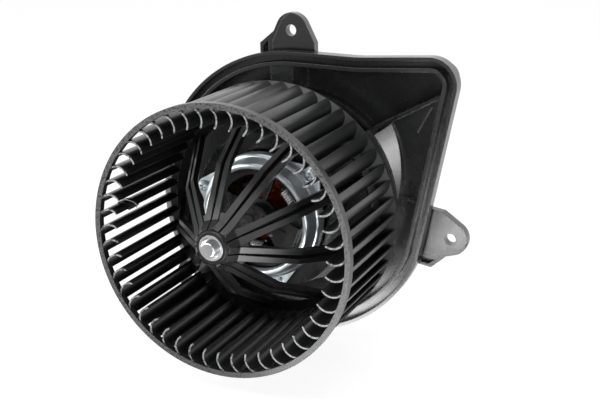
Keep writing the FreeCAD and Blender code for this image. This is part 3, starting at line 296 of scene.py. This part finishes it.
class Shader:
    """Builds one procedural material, in object space so that it never slides or stretches."""

    def __init__(self, material):
        material.use_nodes = True
        self.material = material
        self.nodes = material.node_tree.nodes
        self.links = material.node_tree.links
        self.surface = self.nodes["Principled BSDF"]
        self.place = self.nodes.new("ShaderNodeTexCoord").outputs["Object"]

    @classmethod
    def named(cls, name):
        return cls(bpy.data.materials.new(name))

    def math(self, operation, first, second):
        node = self.nodes.new("ShaderNodeMath")
        node.operation = operation
        self.links.new(first, node.inputs[0])
        self.links.new(second, node.inputs[1])
        return node.outputs[0]

    def product(self, first, second):
        return self.math("MULTIPLY", first, second)

    def sum(self, first, second):
        return self.math("ADD", first, second)

    def constant(self, value):
        node = self.nodes.new("ShaderNodeValue")
        node.outputs[0].default_value = value
        return node.outputs[0]

    def limits(self, value, at_zero, at_one):
        """0 to 1 as the value goes from one limit to the other."""
        scale = self.nodes.new("ShaderNodeMapRange")
        scale.inputs["From Min"].default_value = at_zero
        scale.inputs["From Max"].default_value = at_one
        self.links.new(value, scale.inputs["Value"])
        return scale.outputs[0]

    def noise(self, per_metre, detail=3.0, stretch=(1, 1, 1)):
        mapping = self.nodes.new("ShaderNodeMapping")
        mapping.inputs["Scale"].default_value = stretch
        texture = self.nodes.new("ShaderNodeTexNoise")
        texture.inputs["Scale"].default_value = per_metre
        texture.inputs["Detail"].default_value = detail
        self.links.new(self.place, mapping.inputs[0])
        self.links.new(mapping.outputs[0], texture.inputs["Vector"])
        return texture.outputs["Fac"]

    def cells(self, per_metre):
        texture = self.nodes.new("ShaderNodeTexVoronoi")
        texture.inputs["Scale"].default_value = per_metre
        self.links.new(self.place, texture.inputs["Vector"])
        return texture.outputs["Distance"]

    def ramp(self, value, low, high, start=0.3, end=0.7):
        ramp = self.nodes.new("ShaderNodeValToRGB")
        ramp.color_ramp.elements[0].position = start
        ramp.color_ramp.elements[1].position = end
        ramp.color_ramp.elements[0].color = (*low, 1)
        ramp.color_ramp.elements[1].color = (*high, 1)
        self.links.new(value, ramp.inputs[0])
        return ramp.outputs[0]

    def span(self, value, low, high):
        """Maps a 0 to 1 value to the range low to high."""
        scale = self.nodes.new("ShaderNodeMapRange")
        scale.inputs["To Min"].default_value = low
        scale.inputs["To Max"].default_value = high
        self.links.new(value, scale.inputs["Value"])
        return scale.outputs[0]

    def rounded(self, radius):
        bevel = self.nodes.new("ShaderNodeBevel")
        bevel.samples = 4
        bevel.inputs["Radius"].default_value = radius
        return bevel.outputs[0]

    def edge_wear(self, radius):
        """1 on edges and 0 on flats, from the difference between rounded and plain normals."""
        geometry = self.nodes.new("ShaderNodeNewGeometry")
        dot = self.nodes.new("ShaderNodeVectorMath")
        dot.operation = "DOT_PRODUCT"
        self.links.new(self.rounded(radius), dot.inputs[0])
        self.links.new(geometry.outputs["Normal"], dot.inputs[1])
        scale = self.nodes.new("ShaderNodeMapRange")
        scale.inputs["From Min"].default_value = 0.98
        scale.inputs["From Max"].default_value = 0.80
        self.links.new(dot.outputs["Value"], scale.inputs["Value"])
        return scale.outputs[0]

    def colour(self, source):
        self.links.new(source, self.surface.inputs["Base Color"])

    def mixed(self, factor, first, second):
        mix = self.nodes.new("ShaderNodeMix")
        mix.data_type = "RGBA"
        self.links.new(factor, mix.inputs[0])
        self.links.new(first, mix.inputs[6])
        if isinstance(second, tuple):
            mix.inputs[7].default_value = (*second, 1)
        else:
            self.links.new(second, mix.inputs[7])
        return mix.outputs[2]

    def distance_from_shaft(self):
        flat = self.nodes.new("ShaderNodeVectorMath")
        flat.operation = "MULTIPLY"
        flat.inputs[1].default_value = (1, 0, 1)
        length = self.nodes.new("ShaderNodeVectorMath")
        length.operation = "LENGTH"
        self.links.new(self.place, flat.inputs[0])
        self.links.new(flat.outputs[0], length.inputs[0])
        return length.outputs["Value"]

    def roughness(self, source):
        self.links.new(source, self.surface.inputs["Roughness"])

    def bump(self, layers, edge_radius):
        """Stacks (height, depth in metres) layers on a slightly rounded edge."""
        normal = self.rounded(edge_radius)
        for height, depth in layers:
            bump = self.nodes.new("ShaderNodeBump")
            bump.inputs["Distance"].default_value = depth
            bump.inputs["Strength"].default_value = 1.0
            self.links.new(height, bump.inputs["Height"])
            self.links.new(normal, bump.inputs["Normal"])
            normal = bump.outputs[0]
        self.links.new(normal, self.surface.inputs["Normal"])

    def set(self, **values):
        for name, value in values.items():
            self.surface.inputs[name.replace("_", " ")].default_value = value


def moulded_plastic(name, dark, pale, roughness, grain=0.000012, edge_radius=0.00035):
    """Black injection moulding: faint flow marks, fine eroded grain and paler worn edges."""
    s = Shader.named(name)
    flow = s.noise(28, 4.0, (1, 0.35, 1))
    worn = tuple(c * 2.5 + 0.02 for c in pale)
    s.colour(s.mixed(s.span(s.edge_wear(0.0005), 0.0, 0.6), s.ramp(flow, dark, pale), worn))
    s.roughness(s.span(s.noise(95, 5.0), *roughness))
    s.bump([(s.noise(1500, 2.0), grain), (s.noise(45, 2.0), 0.00003)], edge_radius)
    return s.material


def wheel_plastic(name, dark, pale, roughness, grain):
    """As moulded_plastic, but scuffed and paler on the wheel's front ring and blade tips; on the
    tips the much paler scuff colour is also a painted highlight of their rounded edges.
    """
    material = moulded_plastic(name, dark, pale, roughness, grain)
    s = Shader(material)
    geometry = s.nodes.new("ShaderNodeNewGeometry")
    facing = s.nodes.new("ShaderNodeSeparateXYZ")
    s.links.new(geometry.outputs["True Normal"], facing.inputs[0])
    place = s.nodes.new("ShaderNodeSeparateXYZ")
    s.links.new(s.place, place.inputs[0])
    front = s.limits(facing.outputs["Y"], -0.80, -0.95)
    scuff_and_highlight_back = BLADE_FRONT + BLADE_SCUFF_AND_HIGHLIGHT_DEPTH
    forward = s.limits(place.outputs["Y"], scuff_and_highlight_back + 1 * MM, scuff_and_highlight_back - 1 * MM)
    radius = s.distance_from_shaft()
    outer = s.limits(radius, BLADE_SCUFF_AND_HIGHLIGHT_R - 1 * MM, BLADE_SCUFF_AND_HIGHLIGHT_R)
    patches = s.span(s.limits(s.noise(900, 5.0), 0.38, 0.62), 0.1, 1.6)
    # Where scuffs go on front faces; on the blade tips this is also where the painted highlight goes.
    scuff_and_highlight = s.product(s.product(front, forward), patches)
    scuff_and_highlight = s.product(scuff_and_highlight, outer)
    before = s.surface.inputs["Base Color"].links[0].from_socket
    on_ring = s.limits(radius, RING_INNER_R - 0.5 * MM, RING_INNER_R)
    # Scuff colour on the ring; on the blade tips a paler colour that is a painted highlight.
    scuff_and_highlight_colour = s.ramp(on_ring, TIP_SCUFF_AND_HIGHLIGHT_COLOUR, RING_COLOUR, 0.0, 1.0)
    s.colour(s.mixed(scuff_and_highlight, before, scuff_and_highlight_colour))
    rough = s.surface.inputs["Roughness"].links[0].from_socket
    s.roughness(s.sum(rough, s.product(scuff_and_highlight, s.constant(0.25))))
    s.set(Specular_IOR_Level=0.35)
    return material


def plated_metal(name, dark, pale, roughness, grain=0.000004, stretch=(1, 1, 1), metallic=1.0):
    """Plated or bare metal with handling marks and fine scratches."""
    s = Shader.named(name)
    s.colour(s.ramp(s.noise(120, 5.0), dark, pale))
    s.roughness(s.span(s.noise(400, 4.0, stretch), *roughness))
    s.bump([(s.noise(1800, 3.0, stretch), grain), (s.noise(160, 2.0), 0.00003)], 0.0002)
    s.set(Metallic=metallic)
    return s.material


def soft_matter(name, dark, pale, rough, grain_size, grain_depth):
    """Rubber, carbon, fibre and other matt stuff with a visible grain."""
    s = Shader.named(name)
    s.colour(s.ramp(s.noise(grain_size / 8, 4.0), dark, pale))
    s.roughness(s.span(s.noise(grain_size / 3, 3.0), rough - 0.08, rough + 0.08))
    s.bump([(s.cells(grain_size), grain_depth)], 0.0003)
    return s.material


def enamelled_wire(name, dark, pale):
    """Copper under orange-red enamel, darker where the varnish has pooled."""
    s = Shader.named(name)
    s.colour(s.ramp(s.noise(260, 4.0), dark, pale, 0.35, 0.65))
    s.roughness(s.span(s.noise(500, 3.0), 0.22, 0.42))
    s.bump([(s.noise(900, 3.0), 0.00002)], 0.0001)
    s.set(Metallic=0.25, Coat_Weight=0.5, Coat_Roughness=0.15)
    return s.material


def build_materials():
    even = (1, 1, 1)
    turned = (1, 14, 1)
    rolled = (1, 6, 1)
    stacked = (1, 30, 1)
    metals = {
        "zinc_plate": ((0.50, 0.56, 0.59), (0.82, 0.87, 0.90), (0.26, 0.42), 0.000004, rolled, 0.82),
        "bright_steel": ((0.48, 0.48, 0.49), (0.68, 0.68, 0.69), (0.26, 0.42), 0.000006, turned),
        "drawn_steel": ((0.36, 0.37, 0.39), (0.5, 0.51, 0.53), (0.28, 0.45), 0.000008, rolled),
        "laminated_steel": ((0.2, 0.2, 0.21), (0.34, 0.34, 0.35), (0.35, 0.5), 0.00002, stacked),
        "spring_steel": ((0.12, 0.12, 0.125), (0.22, 0.22, 0.23), (0.3, 0.45)),
        "tinned_copper": ((0.6, 0.59, 0.6), (0.8, 0.79, 0.8), (0.4, 0.55), 0.000004, even, 0.5),
        "copper": ((0.50, 0.13, 0.05), (0.74, 0.25, 0.11), (0.25, 0.42), 0.00001, turned),
        "brass": ((0.62, 0.44, 0.16), (0.8, 0.6, 0.26), (0.22, 0.36)),
        "sintered_bronze": ((0.2, 0.14, 0.08), (0.32, 0.22, 0.13), (0.45, 0.6), 0.00003),
    }
    matt = {
        "phenolic": ((0.06, 0.03, 0.015), (0.12, 0.06, 0.03), 0.5, 900, 0.00002),
        "fibre": ((0.3, 0.2, 0.11), (0.45, 0.31, 0.18), 0.8, 1600, 0.00003),
        "ferrite": ((0.05, 0.05, 0.055), (0.09, 0.09, 0.095), 0.5, 1200, 0.00002),
        "rubber": ((0.012, 0.012, 0.012), (0.022, 0.022, 0.022), 0.62, 1500, 0.00003),
        "carbon": ((0.03, 0.03, 0.032), (0.06, 0.06, 0.063), 0.5, 1800, 0.00002),
        "capacitor_case": ((0.16, 0.04, 0.018), (0.26, 0.07, 0.03), 0.3, 500, 0.00001),
        "red_wire": ((0.35, 0.012, 0.01), (0.5, 0.025, 0.02), 0.42, 700, 0.00001),
        "dark_wire": ((0.015, 0.015, 0.017), (0.03, 0.03, 0.033), 0.42, 700, 0.00001),
    }
    made = {name: plated_metal(name, *values) for name, values in metals.items()}
    made.update({name: soft_matter(name, *values) for name, values in matt.items()})
    made["moulded_black"] = moulded_plastic(
        "moulded_black", (0.008, 0.0083, 0.0085), (0.014, 0.0143, 0.0148), (0.20, 0.34),
        edge_radius=0.0006)
    made["wheel_black"] = wheel_plastic(
        "wheel_black", (0.009, 0.0094, 0.0096), (0.017, 0.0174, 0.0178), (0.24, 0.38), 0.00002)
    made["plug_black"] = moulded_plastic(
        "plug_black", (0.02, 0.02, 0.021), (0.034, 0.034, 0.035), (0.45, 0.6), 0.00003)
    made["enamelled_copper"] = enamelled_wire(
        "enamelled_copper", (0.5, 0.06, 0.015), (0.95, 0.22, 0.05))
    return made


def dress_nodes():
    for part in frame["record"]["subparts"]:
        mesh = NODES[part["node"]].data
        mesh.materials.clear()
        mesh.materials.append(MATERIALS[part["material_slot"]])


# ---- Mesh helpers -------------------------------------------------------------------------------

def around(radius, angle, y):
    """The point at this radius and angle (from +X towards +Z) about the shaft."""
    a = math.radians(angle)
    return Vector((radius * math.cos(a), y, radius * math.sin(a)))


def tube_mesh(path, radius, sides=8, closed=False):
    """Vertices and faces of a round wire along the points, with capped ends unless it is closed."""
    count = len(path)
    vertices, faces = [], []
    side = None
    for i, point in enumerate(path):
        before = path[i - 1] if closed or i > 0 else point
        after = path[(i + 1) % count] if closed or i < count - 1 else point
        along = (after - before).normalized()
        if side is None:
            side = along.orthogonal().normalized()
        side = (side - along * side.dot(along)).normalized()
        other = along.cross(side)
        for k in range(sides):
            turn = 2 * math.pi * k / sides
            vertices.append(point + (side * math.cos(turn) + other * math.sin(turn)) * radius)
    for i in range(count if closed else count - 1):
        a, b = i * sides, ((i + 1) % count) * sides
        for k in range(sides):
            n = (k + 1) % sides
            faces.append((a + k, a + n, b + n, b + k))
    if not closed:
        faces.append(tuple(reversed(range(sides))))
        faces.append(tuple(range((count - 1) * sides, count * sides)))
    return vertices, faces


def add_piece(name, parts, material, body):
    """One object from several (vertices, faces) parts, smooth shaded and riding on a body."""
    vertices, faces = [], []
    for part_vertices, part_faces in parts:
        start = len(vertices)
        vertices += part_vertices
        faces += [tuple(start + i for i in face) for face in part_faces]
    mesh = bpy.data.meshes.new(name)
    mesh.from_pydata(vertices, [], faces)
    mesh.update()
    mesh.shade_smooth()
    mesh.materials.append(MATERIALS[material])
    obj = link(bpy.data.objects.new(name, mesh))
    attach(obj, body)
    return obj


def smooth_path(points, steps):
    """A Catmull-Rom curve through the points, with this many steps to a span."""
    path = []
    last = len(points) - 1
    for i in range(last):
        p0, p1 = points[max(i - 1, 0)], points[i]
        p2, p3 = points[i + 1], points[min(i + 2, last)]
        for k in range(steps):
            t = k / steps
            path.append(0.5 * (2 * p1 + (p2 - p0) * t + (2 * p0 - 5 * p1 + 4 * p2 - p3) * t ** 2
                               + (3 * p1 - p0 - 3 * p2 + p3) * t ** 3))
    path.append(points[-1])
    return path


# ---- Pieces -------------------------------------------------------------------------------------

SLOTS = 12
COIL_SPAN = 5
TURNS_PER_COIL = 9
WIRE_R = 0.42 * MM


def coil_turn(slot, inner_r, outer_r, core, bulge_front, bulge_back, jitter):
    """One closed turn of wire: out along a slot, over the core's end, back along another slot."""
    start = slot * 360 / SLOTS + jitter
    end = start + COIL_SPAN * 360 / SLOTS - 2 * jitter
    front, back = core
    middle = (start + end) / 2
    cross_r = inner_r * math.cos(math.radians((end - start) / 2)) + 3.2 * MM
    corners = [
        around(outer_r, start, back),
        around(outer_r, start, front),
        around(outer_r * 0.97, start + 5, front - bulge_front * 0.7),
        around((outer_r + cross_r) * 0.55, start + 32, front - bulge_front),
        around(cross_r * 1.5, middle, front - bulge_front),
        around((inner_r + cross_r) * 0.58, end - 32, front - bulge_front),
        around(inner_r * 0.99, end - 5, front - bulge_front * 0.7),
        around(inner_r, end, front),
        around(inner_r, end, back),
        around(inner_r * 0.99, end - 5, back + bulge_back * 0.7),
        around((inner_r + cross_r) * 0.58, end - 32, back + bulge_back),
        around(cross_r * 1.5, middle, back + bulge_back),
        around((outer_r + cross_r) * 0.55, start + 32, back + bulge_back),
        around(outer_r * 0.97, start + 5, back + bulge_back * 0.7),
    ]
    return smooth_path(corners + corners[:1], 3)[:-1]


def armature_winding():
    """Separate turns of enamelled wire in the slots of the core."""
    dice = random.Random(12)
    low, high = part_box("armature_windings")
    core_low, core_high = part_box("armature_core")
    reach = high.x - WIRE_R * 1.5
    core = (core_low.y, core_high.y)
    room_front = core_low.y - low.y - 1.2 * WIRE_R
    room_back = high.y - core_high.y - 1.2 * WIRE_R
    turns = []
    for slot in range(SLOTS):
        layer = 0.45 + 0.55 * (slot * 5 % SLOTS) / (SLOTS - 1)
        for turn in range(TURNS_PER_COIL):
            row, column = divmod(turn, 3)
            outer_r = reach - row * 2.1 * WIRE_R - dice.uniform(0, 0.3) * MM
            inner_r = outer_r - 3.2 * MM
            jitter = (column - 1) * 2.6 + dice.uniform(-0.3, 0.3)
            share = layer - row * 0.12 - column * 0.04
            path = coil_turn(slot, inner_r, outer_r, core, room_front * share, room_back * share,
                             jitter)
            turns.append(tube_mesh(path, WIRE_R, 6, closed=True))
    winding = add_piece("armature_winding_wire", turns, "enamelled_copper", "rotor")
    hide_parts("armature_windings")


def brush_spring(side):
    """A coil spring with closed ends, wound along its brush's slide direction."""
    node = "brush_spring_" + side
    joint = [j for j in frame["joints"] if j["name"] == side + "_brush_slide"][0]
    out = Vector(joint["axis"])
    low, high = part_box(node)
    middle = (low + high) / 2
    spread = [(v.co - middle).dot(out) for v in NODES[node].data.vertices]
    wire_r = 0.35 * MM
    start, end = min(spread) + wire_r, max(spread) - wire_r
    coil_r = (high.y - low.y) / 2 - wire_r
    turns, steps = 6, 20
    across = SHAFT.cross(out)
    path = []
    for i in range(turns * steps + 1):
        turn = i / steps
        rise = min(1.0, max(0.0, (turn - 0.8) / (turns - 1.6)))
        angle = 2 * math.pi * turn
        ring = SHAFT * math.cos(angle) + across * math.sin(angle)
        path.append(middle + out * (start + (end - start) * rise) + ring * coil_r)
    spring = add_piece(node + "_wire", [tube_mesh(path, wire_r, 8)], "spring_steel",
                       "housing_and_motor")
    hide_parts(node)
    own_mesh(spring)


def balance_wire():
    """The light wire that springs out of the balance clip, along the blade's inner edge."""
    low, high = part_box("balance_clip")
    middle = (low + high) / 2
    angle = math.degrees(math.atan2(middle.z, middle.x))
    radius = math.hypot(middle.x, middle.z)
    inner = radius - 3.2 * MM
    points = [
        around(inner - 0.8 * MM, angle + 1.6, middle.y + 2.5 * MM),
        around(inner - 0.9 * MM, angle - 0.4, middle.y + 1.5 * MM),
        around(inner - 0.6 * MM, angle - 2.6, middle.y - 1.5 * MM),
        around(inner + 0.4 * MM, angle - 4.2, low.y - 1.0 * MM),
        around(inner + 2.0 * MM, angle - 5.2, low.y - 4.0 * MM),
    ]
    add_piece("balance_clip_wire", [tube_mesh(smooth_path(points, 8), 0.34 * MM)],
              "tinned_copper", "rotor")


HUB_CONE_TILT = 46.2
MARK_R = 17.7 * MM
MARK_ANGLE = 41.4
MARK_SETBACK = 66.9 * MM


def mould_marks():
    """Two fine raised rings left by the mould on one web of the hub."""
    tilt = math.radians(HUB_CONE_TILT)
    outward = around(1, MARK_ANGLE, 0)
    normal = outward * math.sin(tilt) - SHAFT * math.cos(tilt)
    across = normal.cross(outward).normalized()
    up = across.cross(normal).normalized()
    centre = around(MARK_R, MARK_ANGLE, WHEEL_BACK - MARK_SETBACK)
    rings = []
    for size in (1.9 * MM, 1.0 * MM):
        path = []
        for i in range(32):
            turn = 2 * math.pi * i / 32
            path.append(centre + (across * math.cos(turn) + up * math.sin(turn)) * size)
        rings.append(tube_mesh(path, 0.42 * MM, 6, closed=True))
    add_piece("hub_mould_marks", rings, "plug_black", "rotor")


def dome(centre, radius, height, rings=5, sides=20):
    """A rivet head facing the viewer's side, with its rim sunk a little below the centre's plane."""
    vertices, faces = [centre - SHAFT * height], []
    for i in range(1, rings + 1):
        tilt = math.pi / 2 * i / rings
        for k in range(sides):
            turn = 2 * math.pi * k / sides
            offset = Vector((math.cos(turn), 0, math.sin(turn))) * radius * math.sin(tilt)
            vertices.append(centre + offset - SHAFT * height * (math.cos(tilt) - 0.1 * i / rings))
    for k in range(sides):
        faces.append((0, 1 + (k + 1) % sides, 1 + k))
    for i in range(rings - 1):
        a, b = 1 + i * sides, 1 + (i + 1) * sides
        for k in range(sides):
            n = (k + 1) % sides
            faces.append((a + k, a + n, b + n, b + k))
    last = 1 + (rings - 1) * sides
    faces.append(tuple(range(last, last + sides)))
    return vertices, faces


PLATE_THICK = 3.0 * MM
RIVETS = [(11.9, -55.0, 1.5), (14.2, -75.0, 0.8), (17.7, -75.7, 0.8)]


def plate_rivets():
    """The small bright rivet heads on the brush plate, from (radius, angle, head radius)."""
    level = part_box("brush_plate")[1].y - PLATE_THICK
    parts = [dome(around(r * MM, a, level), size * MM, 0.6 * size * MM) for r, a, size in RIVETS]
    add_piece("plate_rivets", parts, "bright_steel", "housing_and_motor")


# ---- Build --------------------------------------------------------------------------------------

MATERIALS = build_materials()
dress_nodes()
armature_winding()
brush_spring("right")
brush_spring("left")
balance_wire()
mould_marks()
plate_rivets()

add_camera()
add_world()
add_floor()
add_lights()
bpy.context.scene.view_settings.view_transform = "Standard"
